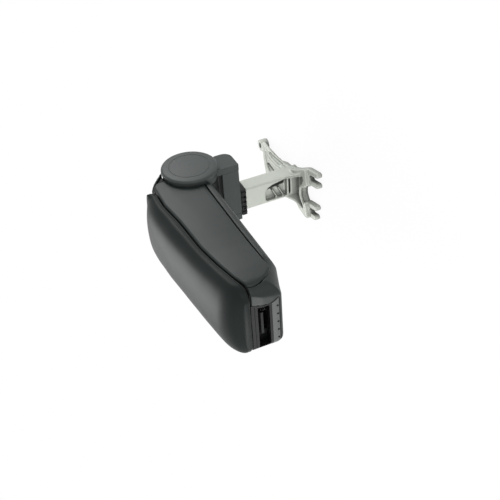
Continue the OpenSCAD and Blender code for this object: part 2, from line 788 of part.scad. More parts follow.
module lid_bumpers() {
    color([0.05, 0.05, 0.05]) at_pivot() bumper_places()
        translate([0, 0, seat - bumper_deep]) cylinder(r = bumper_r, h = bumper_deep + 1, $fn = 32);
}

module lid_hinge_pin() {
    color([0.6, 0.6, 0.62]) at_pivot() translate([hinge_x, 0, hinge_z]) rod_y(hinge_pin_r, -36, 36, 32);
}

// Lid

lid_rear = hinge_x - 3.4;
lid_steps = 18;
lid_ring = 18;
crown_line = [[lid_rear, crown_h - 10], [hinge_x + 1, crown_h - 6], [hinge_x + 9, crown_h - 2], [hinge_x + 23, crown_h + 1],
    [0.26 * nose_x, crown_h + 1.5], [0.4 * nose_x, crown_h], [0.56 * nose_x, crown_h - 4.5], [0.73 * nose_x, crown_h - 9],
    [nose_x - 41, crown_h - 13],
    [nose_x - 24, crown_h - 18], [nose_x - 12, crown_h - 25], [nose_x - 5, crown_h - 32], [nose_x - 1, crown_h - 38]];
lid_floor_line = concat([[lid_rear, hinge_z + 4.7], [hinge_x - 1.7, hinge_z + 3.5]], parting(half_gap));
function lid_half(x) = let(u = max(0, x - nose_x + nose_r))
    half_w + lookup(x, swell_line) - nose_r + sqrt(nose_r * nose_r - u * u);
// Closer steps where the lid curves down at its ends
function lid_x(i) = let(t = i / lid_steps) lid_rear + (nose_x - 1 - lid_rear) * (1 - cos(180 * t)) / 2;
// One section of the lid: up the right side, over the crown, down the left side
function lid_section(x) = let(w = lid_half(x), top = lookup(x, crown_line), low = lookup(x, lid_floor_line),
    rise = min(crown_rise, top - low - 0.5))
    concat([[x, -w, low]],
        [for (k = [0:lid_ring]) let(a = 180 - 180 * k / lid_ring, c = cos(a), n = sin(a))
            [x, w * sign(c) * pow(abs(c), 0.9), top - rise + rise * pow(n, 0.9)]],
        [[x, w, low]]);
module lid_form() {
    rings = [for (i = [0:lid_steps]) lid_section(lid_x(i))];
    m = lid_ring + 3;
    polyhedron(
        points = [for (r = rings) for (q = r) q],
        faces = concat(
            [[for (k = [m - 1:-1:0]) k]],
            [[for (k = [0:m - 1]) lid_steps * m + k]],
            [for (i = [0:lid_steps - 1]) for (k = [0:m - 1]) for (h = [0, 1])
                let(a = i * m + k, b = i * m + (k + 1) % m)
                h == 0 ? [a, b, a + m] : [b, b + m, a + m]]));
}

// Band of the lid's plate, from z0 to z1 above the parting line, moved inward by d
module plate_band(z0, z1, d) {
    intersection() {
        along_y(-past, past) polygon(concat(parting(z0), reversed(parting(z1))));
        translate([0, 0, -past]) linear_extrude(4 * past) polygon(inset(plan_outline, d));
    }
}

// Places of the screws that hold the pad, square to the plate
module lid_screw_places() {
    for (x = [0.3 * nose_x, 0.79 * nose_x]) for (s = [-1, 1])
        translate([x, s * 0.31 * arm_w, lookup(x, parting(half_gap))]) rotate([0, rim_turn(x), 0]) children();
}

module hinge_strap(d) {
    translate([hinge_x - d, -38 - d, parting_rear + half_gap - d]) cube([10 + 2 * d, 76 + 2 * d, lid_plate_t + 2 * d]);
}

module knuckle_room() {
    for (s = [-1, 1])
        translate([hinge_x - 10, s * knuckle_y - knuckle_w / 2 - 0.4, hinge_z - 20]) cube([17, knuckle_w + 0.8, 27]);
}

module lid_base() {
    color([0.12, 0.12, 0.13]) at_pivot() difference() {
        union() {
            plate_band(half_gap, half_gap + lid_plate_t, skin_t + seat);
            translate([hinge_x, 0, hinge_z]) rod_y(hinge_r, -38, 38, 48);
            hinge_strap(0);
        }
        knuckle_room();
        translate([hinge_x, 0, hinge_z]) rod_y(hinge_pin_r + pin_play, -past, past, 32);
        lid_screw_places() translate([0, 0, -2]) cylinder(r = lid_screw_r + seat, h = 12, $fn = 24);
    }
}

module lid_pad() {
    color([0.3, 0.31, 0.31]) at_pivot() difference() {
        lid_form();
        plate_band(-past, half_gap + lid_plate_t + seat, skin_t);
        hinge_strap(seat);
        translate([hinge_x, 0, hinge_z]) rod_y(hinge_r + 0.3, -past, past, 48);
        knuckle_room();
        lid_screw_places() translate([0, 0, -2]) cylinder(r = lid_screw_r + seat, h = 12, $fn = 24);
    }
}

// Catch that hangs from the lid's plate in front of the hook
striker_x = latch_x - 0.6;
module lid_striker() {
    low = parting_front - 6;
    top = parting_front + half_gap - seat;
    color([0.6, 0.6, 0.62]) at_pivot() difference() {
        translate([striker_x, -8, low]) cube([2, 16, top - low]);
        translate([striker_x - 1, -5, low + 2.5]) cube([4, 10, top - low - 3.7]);
    }
}

lid_screw_r = 2;
module lid_screws() {
    color([0.5, 0.5, 0.5]) at_pivot() lid_screw_places() {
        translate([0, 0, -seat - 1.2]) cylinder(r = 3.5, h = 1.2, $fn = 24);
        translate([0, 0, -seat - 0.5]) cylinder(r = lid_screw_r, h = 10, $fn = 24);
    }
}

// Latch: a finger paddle in front, a hook above and a spring arm behind the pin

module latch_paddle() {
    color([0.2, 0.21, 0.21]) at_pivot() difference() {
        union() {
            translate([latch_x, 0, latch_z]) {
                rod_y(3, latch_lugs[0] + lug_w + 0.5, latch_lugs[1] - 0.5, 32);
                // Link from the pin to the finger plate
                along_y(latch_lugs[0] + lug_w + 0.5, latch_lugs[1] - 0.5)
                    polygon([[0, 2.8], [7.8, -2], [7.8, -5], [6, -5], [1, -2.8]]);
                // Hook
                along_y(-latch_half, latch_half)
                    polygon([[-1, 2], [-2.5, 1], [-5.5, 7], [-4.5, 8.8], [-0.95, 7.4], [-1.2, 6], [-3.2, 5]]);
                // Arm on the spring
                along_y(-latch_half, latch_half) polygon([[0, 2], [-13, 1], [-13, -1.5], [0, -2]]);
            }
            // Finger plate, which follows the nose
            translate([0, 0, window_low + slot_gap]) linear_extrude(window_high - window_low - slot_gap - 1.7) intersection() {
                difference() {
                    polygon(inset(plan_outline, 2.2));
                    polygon(inset(plan_outline, 2.2 + 2));
                }
                translate([nose_x / 2, window_right + 1]) square([past, window_left - window_right - 2]);
            }
        }
        translate([latch_x, 0, latch_z]) rod_y(latch_pin_r + pin_play, -past, past, 32);
    }
}

module latch_pin() {
    color([0.6, 0.6, 0.62]) at_pivot() translate([latch_x, 0, latch_z]) rod_y(latch_pin_r - 0.01, latch_lugs[0], latch_lugs[1] + lug_w, 32);
}

spring_turns = 5;
spring_r = 2.6;
spring_wire = 0.45;
spring_low = 8;
spring_sides = 6;
spring_steps = 12;
module latch_spring() {
    high = latch_z - 1.5 - spring_wire - 0.25;
    low = spring_low + spring_wire + seat;
    count = spring_turns * spring_steps;
    color([0.6, 0.6, 0.62]) at_pivot() translate([latch_x - 10, 0, 0]) polyhedron(
        points = [for (i = [0:count]) let(t = i / count, a = 360 * spring_turns * t)
            for (k = [0:spring_sides - 1]) let(b = 360 * k / spring_sides, r = spring_r + spring_wire * cos(b))
                [r * cos(a), r * sin(a), low + (high - low) * t + spring_wire * sin(b)]],
        faces = concat(
            [[for (k = [spring_sides - 1:-1:0]) k]],
            [[for (k = [0:spring_sides - 1]) count * spring_sides + k]],
            [for (i = [0:count - 1]) for (k = [0:spring_sides - 1]) for (h = [0, 1])
                let(a = i * spring_sides + k, b = i * spring_sides + (k + 1) % spring_sides)
                h == 0 ? [a, b, a + spring_sides] : [b, b + spring_sides, a + spring_sides]]));
}

cast_bracket();
stand_core();
stand_cover(1);  // stand_cover_left
stand_cover(-1);  // stand_cover_right
post_collar();
post_screws();
pivot_bolt();
pivot_washers();
pivot_spring_washer();
pivot_nut();
pivot_cap(1);  // pivot_cap_left
pivot_cap(-1);  // pivot_cap_right
armrest_tub();
drum_bushes();
side_washers();
tilt_stop_pin();
leather_border();
side_inlay(1);  // side_inlay_left
side_inlay(-1);  // side_inlay_right
tail_cover();
nose_bezel();
bezel_screws();
dotted_strip();
bin_mat();
lid_bumpers();
lid_hinge_pin();
lid_base();
lid_pad();
lid_striker();
lid_screws();
latch_paddle();
latch_pin();
latch_spring();
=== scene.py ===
"""Looks of the car centre armrest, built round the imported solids.

Sizes are in millimetres in the armrest's own frame, whose origin is on the pivot axis in the
armrest's mid-plane, and row() turns them into metres in the part's frame.
"""
import json

import bmesh
import bpy
import numpy as np
from mathutils import Matrix


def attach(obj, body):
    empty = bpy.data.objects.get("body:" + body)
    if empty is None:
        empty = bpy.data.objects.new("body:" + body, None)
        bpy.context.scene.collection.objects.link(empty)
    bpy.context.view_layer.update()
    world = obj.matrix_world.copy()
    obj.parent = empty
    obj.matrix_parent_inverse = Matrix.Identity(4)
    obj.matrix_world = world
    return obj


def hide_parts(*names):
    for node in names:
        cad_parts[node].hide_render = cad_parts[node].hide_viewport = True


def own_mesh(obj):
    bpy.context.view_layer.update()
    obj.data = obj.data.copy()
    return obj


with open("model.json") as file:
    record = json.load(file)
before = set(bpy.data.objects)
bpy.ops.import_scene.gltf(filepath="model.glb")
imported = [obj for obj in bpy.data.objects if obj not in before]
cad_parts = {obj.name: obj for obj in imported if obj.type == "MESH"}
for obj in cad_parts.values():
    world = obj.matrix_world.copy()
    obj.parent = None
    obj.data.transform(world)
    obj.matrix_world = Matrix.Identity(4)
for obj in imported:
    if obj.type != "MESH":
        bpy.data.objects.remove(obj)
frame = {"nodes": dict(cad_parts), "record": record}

bl_info = {
    "name": "Centre Armrest Looks",
    "version": (1, 0, 0),
    "blender": (4, 5, 0),
    "location": "View3D > Sidebar > Armrest",
    "description": "Leather, plastic and cast metal looks for a packed car centre armrest",
    "category": "Object",
}

# The armrest's origin in the part's frame
PIVOT = np.array([105.5, 19.0, 160.0])
# Half of the armrest's width at the rear
HALF_W = 45.0
# Widening of a side towards the nose, as (x, widening)
SWELL = np.array([(149, 0), (175.6, 0.6), (199.5, 2.1), (223.4, 3.9), (246, 5), (300, 5)])
# Front end of the nose and the radius of its corners in plan
NOSE_X = 266.0
NOSE_R = 20.0
# Rear end of the lid and the radius of its corners in plan
LID_REAR = 21.6
REAR_R = 4.0

# Parting line between lid and body, as (x, z) from the rear to the nose
PARTING = np.array([(28, 57), (58.5, 58), (101, 52.8), (159.6, 49.6), (198.2, 44.5), (230, 39.1), (253, 32.5),
                    (286, 32.5)])
# Crown of the lid in the mid-plane
CROWN = np.array([(21.6, 69), (26, 73), (34, 77), (48, 80), (70, 80.5), (105, 79), (150, 74.5), (195, 70),
                  (225, 66), (240, 63.5), (250, 60), (257, 55.5), (261.5, 50.5), (264, 45), (265.2, 40)])
# Lower edge of the lid: over the hinge at the rear, then a little above the parting line
LID_FLOOR = np.vstack([[(21.6, 65.7), (23.3, 64.5)], PARTING[:-2] + (0, 0.8), PARTING[-2:] + (0, 2.4)])
# The lid's hem as (out from the wall, up): a roll at the foot of the wall and the groove over it
HEM = np.array([(-2.4, 0), (-0.9, 0), (-0.2, 0.5), (0.1, 1.3), (-0.1, 2.1), (-0.6, 2.7), (-0.3, 3.3)])
# Width of the lip round the lid's plate, and how far up it reaches inside the pad
LIP_W = 2.4
LIP_HIGH = 4.4
# Foot of the lid's wall that the hem takes up, and the height of pad under which the hem shrinks
HEM_ROOM = 4.2
HEM_FULL = 7
# Flat share of the lid's sections: the power of the superellipse's sine and cosine
SQUARE = 0.9
# The lid's front ends this far behind the nose, and its crown is at least this far over its lower edge
LID_GAP = 0.6
LEAST_HIGH = 1.5
# How far the cloth pass may move a point, in metres, and its frames
SWELL_CAP = 0.0012
CLOTH_FRAMES = 20
# What the cloth pass holds still: a height over the lower edge, a length at the nose, and all behind an x
HELD_LOW = 4.6
HELD_NOSE = 6
HELD_REAR = 28
# Side panel, its rear and front edge as points in x and z
PANEL_REAR = [(35.4, -6), (37.3, 4), (35.5, 12.5), (31.5, 20.5), (25.5, 27.5), (17, 33.5), (8, 36.7),
              (3.4, 37.6), (5.2, 42.5), (5.2, 49), (8.3, 52), (12.8, 55.4)]
PANEL_FRONT = [(235, -6), (241, -1), (246, 4), (250.5, 10.5), (253, 16), (254.3, 21), (254.6, 26),
               (253, 30.9)]
# Gap over the panel, its rim's radius and reach, its thickness behind the wall's face, and its rough size
PANEL_GAP = 1.0
RIM_R = 1.6
RIM_REACH = 2.5
PANEL_DEEP = 2.4
PANEL_SIZE = (230, 50)
# Plugs in the strip's holes: how many, the first one's y, their distance, radius, height z and two ends in x
DOTS = 5
DOT_FIRST = 17.5
DOT_STEP = 12.2
DOT_R = 1.25
DOT_Z = 0.4
DOT_ENDS = (264.0, 265.75)


def linear(code):
    """Linear colour of an sRGB hex code."""
    c = np.array([int(code[i:i + 2], 16) for i in (1, 3, 5)]) / 255
    return tuple(np.where(c <= 0.04045, c / 12.92, ((c + 0.055) / 1.055) ** 2.4)) + (1.0,)


def row(points):
    """Points in the armrest's frame, in metres of the part's frame."""
    return (np.asarray(points, float) + PIVOT) / 1000


def smooth_line(points, x):
    """Height of a line through points at x, eased by averaging five readings 2 mm apart."""
    p = np.asarray(points, float)
    return sum(np.interp(x + d, p[:, 0], p[:, 1]) for d in (-4, -2, 0, 2, 4)) / 5


def along(points, n):
    """n points at even distances along a line of points."""
    p = np.asarray(points, float)
    s = np.concatenate([[0], np.cumsum(np.linalg.norm(np.diff(p, axis=0), axis=1))])
    t = np.linspace(0, s[-1], n)
    return np.stack([np.interp(t, s, p[:, i]) for i in range(p.shape[1])], 1)


def grid_faces(nu, nv, wrap_v=False):
    """Quads of a grid of nu rows by nv points, closed round v if wrap_v."""
    u = np.arange(nu - 1)[:, None]
    v = np.arange(nv if wrap_v else nv - 1)[None, :]
    w = (v + 1) % nv
    return np.stack([u * nv + v, u * nv + w, (u + 1) * nv + w, (u + 1) * nv + v], -1).reshape(-1, 4)


def mesh_object(name, points, faces, ends=()):
    """A smooth-shaded object from points in metres, quads and end polygons."""
    mesh = bpy.data.meshes.new(name)
    mesh.from_pydata(np.asarray(points).tolist(), [], faces.tolist() + [list(map(int, e)) for e in ends])
    mesh.validate()
    mesh.polygons.foreach_set("use_smooth", np.ones(len(mesh.polygons), bool))
    obj = bpy.data.objects.new(name, mesh)
    bpy.context.scene.collection.objects.link(obj)
    outward(obj)
    return obj


def outward(obj):
    """Turns a closed mesh's faces outwards and joins its doubled points."""
    bm = bmesh.new()
    bm.from_mesh(obj.data)
    bmesh.ops.remove_doubles(bm, verts=bm.verts, dist=1e-6)
    bmesh.ops.recalc_face_normals(bm, faces=bm.faces)
    bm.to_mesh(obj.data)
    bm.free()


# Materials

def add(tree, kind, inputs=None, **settings):
    """Adds a shader node, sets its properties and its input values, and links sockets given as inputs."""
    n = tree.nodes.new(kind)
    for k, v in settings.items():
        setattr(n, k, v)
    for k, v in (inputs or {}).items():
        if isinstance(v, bpy.types.NodeSocket):
            tree.links.new(v, n.inputs[k])
        else:
            n.inputs[k].default_value = v
    return n


def new_material(name):
    """An empty node material with its output."""
    m = bpy.data.materials.new("finish_" + name)
    m.use_nodes = True
    m.node_tree.nodes.clear()
    return m, m.node_tree, m.node_tree.nodes.new("ShaderNodeOutputMaterial")


def mottled(tree, place, code, scale, detail, low, high):
    """The socket of a colour whose brightness varies between low and high by a noise."""
    noise = add(tree, "ShaderNodeTexNoise", {"Vector": place, "Scale": scale, "Detail": detail})
    tone = add(tree, "ShaderNodeMapRange", {"Value": noise.outputs["Fac"], "To Min": low, "To Max": high})
    return add(tree, "ShaderNodeVectorMath", {0: linear(code)[:3], "Scale": tone.outputs[0]},
               operation="SCALE").outputs[0]


def leather(name, code, sheen):
    """Coated leather: hide with an embossed grain of rounded cells 1 mm wide under a semi-matt topcoat, whose
    tone varies softly along the piece."""
    m, t, out = new_material(name)
    place = add(t, "ShaderNodeTexCoord").outputs["Object"]
    cells = add(t, "ShaderNodeTexVoronoi", {"Vector": place, "Scale": 1000.0, "Randomness": 0.9},
                feature="SMOOTH_F1")
    bump = add(t, "ShaderNodeBump", {"Height": cells.outputs["Distance"], "Strength": 0.16,
                                     "Distance": 0.0002})
    s = add(t, "ShaderNodeBsdfPrincipled", {"Base Color": mottled(t, place, code, 28.0, 2.0, 0.92, 1.08),
                                            "Roughness": 0.4, "Specular IOR Level": sheen,
                                            "Normal": bump.outputs[0]})
    t.links.new(s.outputs[0], out.inputs[0])
    return m


def plastic(name, code, rough, grain=0.0, metallic=0.0, nose_code=None):
    """Moulded plastic, rubber or bare metal. A grain above 0 is the mould's fine spark-eroded surface, with
    pits 0.6 mm apart. The pieces at the nose are moulded in nose_code if it is given."""
    m, t, out = new_material(name)
    values = {"Base Color": linear(code), "Roughness": rough, "Metallic": metallic, "Specular IOR Level": 0.2}
    place = add(t, "ShaderNodeTexCoord").outputs["Object"]
    if nose_code:
        x = add(t, "ShaderNodeSeparateXYZ", {"Vector": place}).outputs["X"]
        at_nose = add(t, "ShaderNodeMapRange", {"Value": x, "From Min": 0.25, "From Max": 0.3})
        values["Base Color"] = add(t, "ShaderNodeMix", {"Factor": at_nose.outputs[0], 6: linear(code),
                                                        7: linear(nose_code)}, data_type="RGBA").outputs[2]
    if grain > 0:
        noise = add(t, "ShaderNodeTexNoise", {"Vector": place, "Scale": 1000 / 0.6, "Detail": 3.0})
        values["Normal"] = add(t, "ShaderNodeBump", {"Height": noise.outputs["Fac"], "Strength": grain,
                                                     "Distance": 0.0003}).outputs[0]
    s = add(t, "ShaderNodeBsdfPrincipled", values)
    t.links.new(s.outputs[0], out.inputs[0])
    return m


def cast_alloy(name, code):
    """Die-cast aluminium, bead blasted: a pale satin metal with a soft mottle where the blast was uneven, and
    with painted shade that darkens its recesses and corners by ambient occlusion."""
    m, t, out = new_material(name)
    place = add(t, "ShaderNodeTexCoord").outputs["Object"]
    fine = add(t, "ShaderNodeTexNoise", {"Vector": place, "Scale": 1100.0, "Detail": 3.0})
    bump = add(t, "ShaderNodeBump", {"Height": fine.outputs["Fac"], "Strength": 0.25, "Distance": 0.0002})
    # Painted shade: the colour is scaled down where ambient occlusion finds the surface enclosed, in
    # recesses, corners and the post's window
    shade_occlusion = add(t, "ShaderNodeAmbientOcclusion", {"Distance": 0.018}, samples=8)
    recess_painted_shade = add(t, "ShaderNodeMapRange", {"Value": shade_occlusion.outputs["AO"], "From Min": 0.15, "From Max": 0.8,
                                          "To Min": 0.25})
    colour = add(t, "ShaderNodeVectorMath", {0: mottled(t, place, code, 60.0, 3.0, 0.92, 1.06),
                                             "Scale": recess_painted_shade.outputs[0]}, operation="SCALE")
    s = add(t, "ShaderNodeBsdfPrincipled", {"Base Color": colour.outputs[0], "Roughness": 0.42,
                                            "Metallic": 0.3, "Normal": bump.outputs[0]})
    t.links.new(s.outputs[0], out.inputs[0])
    return m


MATERIALS = {
    "cast_alloy": lambda: cast_alloy("cast_alloy", "#b6bab2"),
    "grained_plastic": lambda: plastic("grained_plastic", "#3c4140", 0.5, 0.35, nose_code="#101111"),
    "black_plastic": lambda: plastic("black_plastic", "#131415", 0.5, 0.2),
    "cap_plastic": lambda: plastic("cap_plastic", "#3b403f", 0.36, 0.15, nose_code="#505351"),
    "slide_plastic": lambda: plastic("slide_plastic", "#d8d2bd", 0.45),
    "zinc_steel": lambda: plastic("zinc_steel", "#b4b6b8", 0.3, 0.0, 1.0),
    "leather": lambda: leather("leather", "#161f1d", 0.3),
    # Painted shade: the lid's leather is a slightly darker, less glossy copy of the same leather, so that its
    # flanks fall darker
    "lid_leather": lambda: leather("lid_leather", "#151b1a", 0.13),
    "mat_rubber": lambda: plastic("mat_rubber", "#141414", 0.8, 0.3),
}


def material(name):
    """The named material, made at its first use."""
    return bpy.data.materials.get("finish_" + name) or MATERIALS[name]()


def dress(obj, slot, body, *nodes, finish=None):
    """Gives a piece its material, its body and the nodes that it stands for."""
    obj.data.materials.clear()
    obj.data.materials.append(material(finish or slot))
    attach(obj, body)
    if nodes:
        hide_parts(*nodes)


# Pieces

def softened(name, node, voxel, passes):
    """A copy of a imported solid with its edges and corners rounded: its doubled points are merged, it is
    rebuilt from voxels, and every point then moves halfway to its neighbours' mean, in so many passes."""
    obj = bpy.data.objects.new(name, frame["nodes"][node].data.copy())
    bpy.context.scene.collection.objects.link(obj)
    outward(obj)
    remesh = obj.modifiers.new("voxels", "REMESH")
    remesh.mode = "VOXEL"
    remesh.voxel_size = voxel / 1000
    remesh.use_smooth_shade = True
    smooth = obj.modifiers.new("rounding", "SMOOTH")
    smooth.factor = 0.5
    smooth.iterations = passes
    return settled(obj)


def settled(obj):
    """The object with its modifiers applied."""
    graph = bpy.context.evaluated_depsgraph_get()
    mesh = bpy.data.meshes.new_from_object(obj.evaluated_get(graph))
    mesh.name = obj.name
    obj.modifiers.clear()
    obj.data = mesh
    return obj


def half_width(x):
    """Half of the armrest's width at x: sides that widen a little, then a quarter circle at the nose."""
    u = np.clip(x - NOSE_X + NOSE_R, 0, NOSE_R)
    return HALF_W + smooth_line(SWELL, x) - NOSE_R + np.sqrt(NOSE_R ** 2 - u ** 2)


def lid_half(x):
    """Half of the lid's width at x: the armrest's, with a small quarter circle at the rear."""
    v = np.clip(LID_REAR + REAR_R - x, 0, REAR_R)
    return half_width(x) - REAR_R + np.sqrt(REAR_R ** 2 - v ** 2)


def make_lid(crown, fine):
    """The lid's pad: sections across it, each up from a rolled hem, up a short wall, over a superellipse
    |y / w|^(2/0.9) + |h / rise|^(2/0.9) = 1, and down the other side, with a lip round the plate below.
    The sections lie closer together towards both ends, by a cosine."""
    nx, na = (84, 44) if fine else (36, 24)
    front = NOSE_X - LID_GAP
    x = LID_REAR + (front - LID_REAR) * (1 - np.cos(np.linspace(0, np.pi, nx))) / 2
    w, top, low = lid_half(x), smooth_line(CROWN, x), smooth_line(LID_FLOOR, x)
    top = np.maximum(top, low + LEAST_HIGH)
    k = np.minimum(1.0, (top - low) / HEM_FULL)
    rise = np.minimum(crown, top - low - HEM_ROOM * k)
    a = np.linspace(np.pi, 0, na)
    arc_y = np.sign(np.cos(a)) * np.abs(np.cos(a)) ** SQUARE
    arc_z = np.sin(a) ** SQUARE
    rings = []
    for i in range(nx):
        near_end = min(x[i] - LID_REAR, front - x[i]) < LIP_W
        floor = low[i] if near_end else low[i] + LIP_HIGH
        side_y, side_z = w[i] + HEM[:, 0], low[i] + HEM[:, 1] * k[i]
        ys = np.concatenate([[LIP_W - w[i]], -side_y, w[i] * arc_y, side_y[::-1], [w[i] - LIP_W]])
        zs = np.concatenate([[floor], side_z, top[i] - rise[i] + rise[i] * arc_z, side_z[::-1], [floor]])
        rings.append(np.stack([np.full_like(ys, x[i]), ys, zs], 1))
    nv = len(rings[0])
    ends = [np.arange(nv)[::-1], (nx - 1) * nv + np.arange(nv)]
    lid = mesh_object("lid_cushion", row(np.concatenate(rings)), grid_faces(nx, nv, wrap_v=True), ends)
    if fine:
        p = points_of(lid) * 1000 - PIVOT
        hem = p[:, 2] < smooth_line(LID_FLOOR, p[:, 0]) + HELD_LOW
        inflate(lid, hem | (p[:, 0] > NOSE_X - HELD_NOSE) | (p[:, 0] < HELD_REAR), SWELL_CAP)
    return lid


def points_of(obj):
    """The object's points as an array."""
    p = np.empty(len(obj.data.vertices) * 3)
    obj.data.vertices.foreach_get("co", p)
    return p.reshape(-1, 3)


def inflate(obj, held, cap):
    """Swells a cushion as cloth under inner pressure, with the points in held kept in place and no point
    moved farther than cap."""
    scene = bpy.context.scene
    start = points_of(obj)
    group = obj.vertex_groups.new(name="held")
    group.add(np.flatnonzero(held).tolist(), 1.0, "REPLACE")
    cloth = obj.modifiers.new("cloth", "CLOTH")
    values = cloth.settings
    values.quality = 6
    values.mass = 0.25
    values.tension_stiffness = values.compression_stiffness = 25
    values.bending_stiffness = 2
    values.use_pressure = True
    values.uniform_pressure_force = 4
    values.vertex_group_mass = group.name
    values.effector_weights.gravity = 0
    cloth.point_cache.frame_start, cloth.point_cache.frame_end = 1, CLOTH_FRAMES
    for f in range(1, CLOTH_FRAMES + 1):
        scene.frame_set(f)
    swollen = obj.evaluated_get(bpy.context.evaluated_depsgraph_get()).to_mesh()
    end = np.empty(len(start) * 3)
    swollen.vertices.foreach_get("co", end)
    move = end.reshape(-1, 3) - start
    far = np.linalg.norm(move, axis=1, keepdims=True)
    obj.modifiers.remove(cloth)
    obj.vertex_groups.clear()
    scene.frame_set(1)
    kept = start + move * np.minimum(1, cap / np.maximum(far, 1e-9))
    obj.data.vertices.foreach_set("co", kept.reshape(-1))
    obj.data.update()


def coons(bottom, top, rear, front, nu, nv):
    """A patch between four edges: the sum of the two ruled surfaces less the bilinear one."""
    b, t, r, f = along(bottom, nu), along(top, nu), along(rear, nv), along(front, nv)
    u, v = np.linspace(0, 1, nu)[:, None, None], np.linspace(0, 1, nv)[None, :, None]
    return ((1 - v) * b[:, None] + v * t[:, None] + (1 - u) * r[None] + u * f[None]
            - (1 - u) * (1 - v) * b[0] - u * (1 - v) * b[-1] - (1 - u) * v * t[0] - u * v * t[-1])


def make_panel(name, side, crown, fine):
    """A padded side panel: a patch between its four edges, rolled over at the rim by a quarter circle
    and crowned by the crown height times (16 u (1 - u) v (1 - v)) ^ 0.6."""
    nu, nv = (110, 34) if fine else (60, 20)
    line = PARTING[(PARTING[:, 0] < 252)] - (0, PANEL_GAP)
    top = np.vstack([[PANEL_REAR[-1]], line, [PANEL_FRONT[-1]]])
    flat = coons([PANEL_REAR[0], PANEL_FRONT[0]], top, PANEL_REAR, PANEL_FRONT, nu, nv)
    u, v = np.linspace(0, 1, nu)[:, None], np.linspace(0, 1, nv)[None, :]
    edge = np.minimum(np.minimum(u, 1 - u) * PANEL_SIZE[0], np.minimum(v, 1 - v) * PANEL_SIZE[1])
    e = np.clip(edge / RIM_REACH, 0, 1)
    side_w = half_width(flat[..., 0])
    swell = crown * (16 * u * (1 - u) * v * (1 - v)) ** 0.6
    out = side_w - RIM_R + RIM_R * np.sqrt(1 - (1 - e) ** 2) + swell
    face = np.stack([flat[..., 0], side * out, flat[..., 1]], -1).reshape(-1, 3)
    back = face.copy()
    back[:, 1] = side * (side_w - PANEL_DEEP).reshape(-1)
    n = nu * nv
    faces = grid_faces(nu, nv)
    i = np.arange(n).reshape(nu, nv)
    loop = np.concatenate([i[:-1, 0], i[-1, :-1], i[:0:-1, -1], i[0, :0:-1]])
    nxt = np.roll(loop, -1)
    rim = np.stack([loop, nxt, nxt + n, loop + n], 1)
    quads = np.concatenate([faces, faces[:, ::-1] + n, rim])
    return mesh_object(name, row(np.concatenate([face, back])), quads)


class ArmrestSettings(bpy.types.PropertyGroup):
    """Sizes of the soft pieces."""
    crown: bpy.props.FloatProperty(
        name="Crown", description="Height of the lid's crown above its shoulders",
        default=0.020, min=0.014, max=0.021, unit="LENGTH", subtype="DISTANCE")
    panel_crown: bpy.props.FloatProperty(
        name="Panel crown", description="How far the side panels swell in the middle",
        default=0.0012, min=0.0, max=0.003, unit="LENGTH", subtype="DISTANCE")
    floor_size: bpy.props.FloatProperty(
        name="Floor", description="Side of the square floor",
        default=12.0, min=2.0, max=30.0, unit="LENGTH", subtype="DISTANCE")


class ARMREST_OT_finishes(bpy.types.Operator):
    """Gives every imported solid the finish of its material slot"""
    bl_idname = "armrest.finishes"
    bl_label = "Finish the solids"

    def execute(self, context):
        for part in frame["record"]["subparts"]:
            mesh = frame["nodes"][part["node"]].data
            mesh.materials.clear()
            mesh.materials.append(material(part["material_slot"]))
        return {"FINISHED"}


class ARMREST_OT_lid(bpy.types.Operator):
    """Builds the padded lid"""
    bl_idname = "armrest.lid"
    bl_label = "Build the lid"

    def execute(self, context):
        lid = make_lid(context.scene.armrest.crown * 1000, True)
        # The lid gets the darker, less glossy copy of the leather, a painted shade on its flanks
        dress(lid, "leather", "lid", "lid_pad", finish="lid_leather")
        return {"FINISHED"}


class ARMREST_OT_panels(bpy.types.Operator):
    """Builds the two padded side panels"""
    bl_idname = "armrest.panels"
    bl_label = "Build the side panels"

    def execute(self, context):
        for side, word in ((1, "left"), (-1, "right")):
            crown = context.scene.armrest.panel_crown * 1000
            panel = make_panel("panel_" + word, side, crown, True)
            dress(panel, "leather", "armrest", "side_inlay_" + word)
        return {"FINISHED"}


def make_dots():
    """Dark plugs in the holes of the strip, as one mesh of closed discs."""
    n = 20
    a = np.linspace(0, 2 * np.pi, n, endpoint=False)
    points, faces, ends = [], [], []
    for i in range(DOTS):
        k = i * 2 * n
        y = DOT_FIRST - DOT_STEP * i + DOT_R * np.cos(a)
        points += [np.stack([np.full(n, x), y, DOT_Z + DOT_R * np.sin(a)], 1) for x in DOT_ENDS]
        faces.append(grid_faces(2, n, wrap_v=True) + k)
        ends += [k + np.arange(n)[::-1], k + n + np.arange(n)]
    return mesh_object("strip_dots", row(np.concatenate(points)), np.concatenate(faces), ends)


def skin(name, node, voxel, passes, slot, body):
    coarse = 1.0
    dress(softened(name, node, voxel * coarse, passes), slot, body, node)


class ARMREST_OT_skins(bpy.types.Operator):
    """Builds the solids with soft edges, the strip's plugs and the latch's coil"""
    bl_idname = "armrest.skins"
    bl_label = "Build the soft-edged skins"

    def execute(self, context):
        skin("bracket_casting", "cast_bracket", 0.9, 4, "cast_alloy", "stand")
        skin("leather_cover", "leather_border", 1.2, 4, "leather", "armrest")
        skin("tail_leather", "tail_cover", 1.0, 4, "leather", "armrest")
        dress(make_dots(), "mat_rubber", "armrest")
        coil = bpy.data.objects.new("latch_coil", frame["nodes"]["latch_spring"].data.copy())
        context.scene.collection.objects.link(coil)
        outward(coil)
        dress(coil, "zinc_steel", "armrest", "latch_spring")
        middle = points_of(coil).mean(0)
        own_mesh(coil)
        skin("stand_housing", "stand_core", 0.8, 3, "grained_plastic", "stand")
        return {"FINISHED"}


